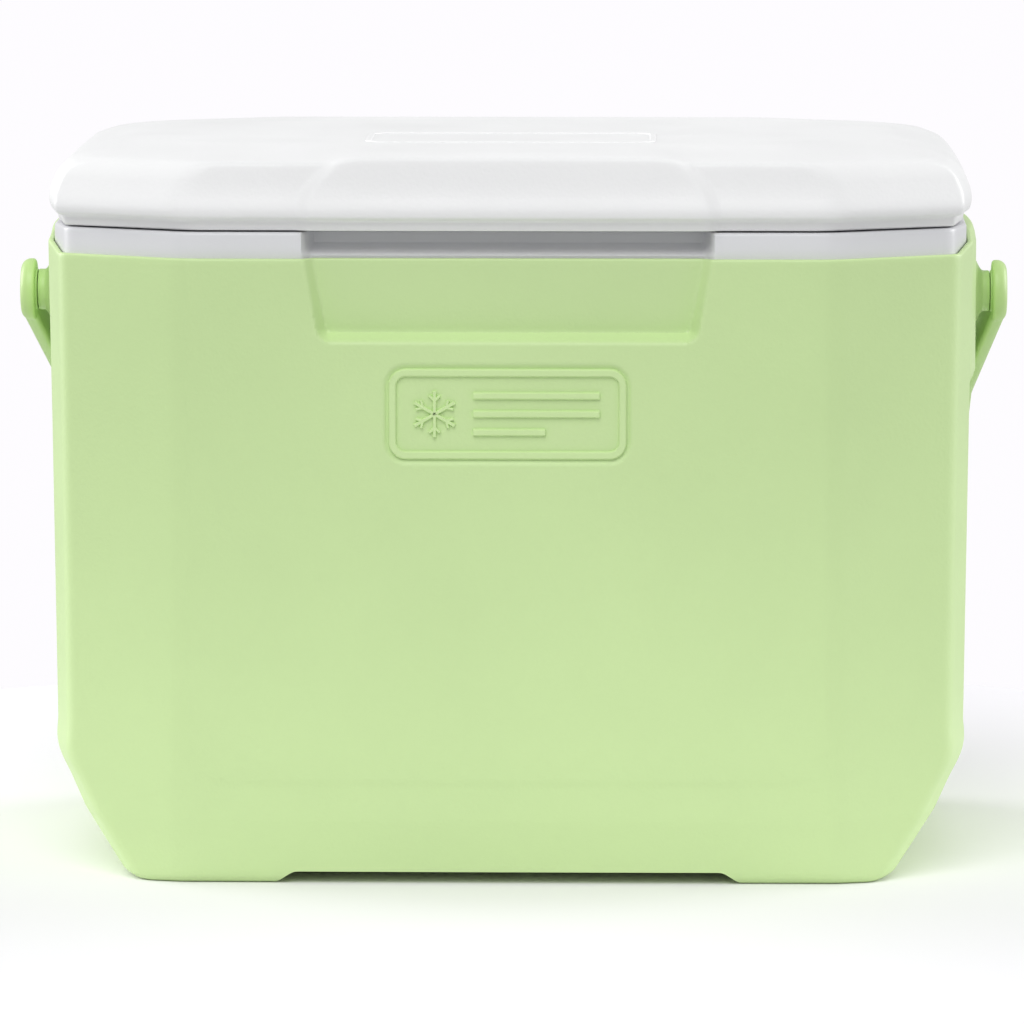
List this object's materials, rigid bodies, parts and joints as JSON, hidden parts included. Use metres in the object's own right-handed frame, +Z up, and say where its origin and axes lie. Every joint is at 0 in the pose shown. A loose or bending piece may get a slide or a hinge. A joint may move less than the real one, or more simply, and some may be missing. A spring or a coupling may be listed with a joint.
{
  "type": "picnic cooler",
  "caption": "Hard-sided picnic cooler: moulded green shell, white insulated liner and collar, hinged white lid, and a bail handle that folds down behind it.",
  "frame": {"origin": "on the ground, under the middle of the box that holds the cooler with its lid shut and its handle folded back", "axes": "+X to the right as seen from the front, +Y to the back where the lid hinges, +Z up"},
  "size_m": [0.436, 0.293, 0.315],
  "materials": {
    "green_shell_plastic": "pale green, fine leather grain, satin",
    "white_liner_plastic": "white, smooth to lightly grained, satin",
    "insulation_foam": "rigid cast foam",
    "zinc_steel": "bright zinc plating"
  },
  "bodies": {
    "body": {"outer_shell": "green_shell_plastic", "inner_liner": "white_liner_plastic", "insulation_core": "insulation_foam", "pivot_base_left": "green_shell_plastic", "pivot_base_right": "green_shell_plastic", "pivot_nut_left": "zinc_steel", "pivot_nut_right": "zinc_steel", "pivot_cap_left": "green_shell_plastic", "pivot_cap_right": "green_shell_plastic", "hinge_body_leaf_left": "white_liner_plastic", "hinge_body_leaf_right": "white_liner_plastic", "hinge_pin_left": "zinc_steel", "hinge_pin_right": "zinc_steel", "body_screw_left_1": "zinc_steel", "body_screw_left_2": "zinc_steel", "body_screw_right_1": "zinc_steel", "body_screw_right_2": "zinc_steel"},
    "lid": {"lid_cover": "white_liner_plastic", "lid_liner": "white_liner_plastic", "lid_insulation": "insulation_foam", "hinge_lid_leaf_left": "white_liner_plastic", "hinge_lid_leaf_right": "white_liner_plastic", "lid_screw_left_1": "zinc_steel", "lid_screw_left_2": "zinc_steel", "lid_screw_right_1": "zinc_steel", "lid_screw_right_2": "zinc_steel"},
    "handle": {"bail_handle": "green_shell_plastic"}
  },
  "joints": [
    {"name": "lid_hinge", "type": "hinge", "parent": "body", "child": "lid", "pos_m": [0, 0.12858, 0.2828], "axis": [-1, 0, 0], "range_deg": [0, 100]},
    {"name": "handle_swing", "type": "hinge", "parent": "body", "child": "handle", "pos_m": [0, -0.00922, 0.2442], "axis": [1, 0, 0], "range_deg": [0, 236]}
  ]
}
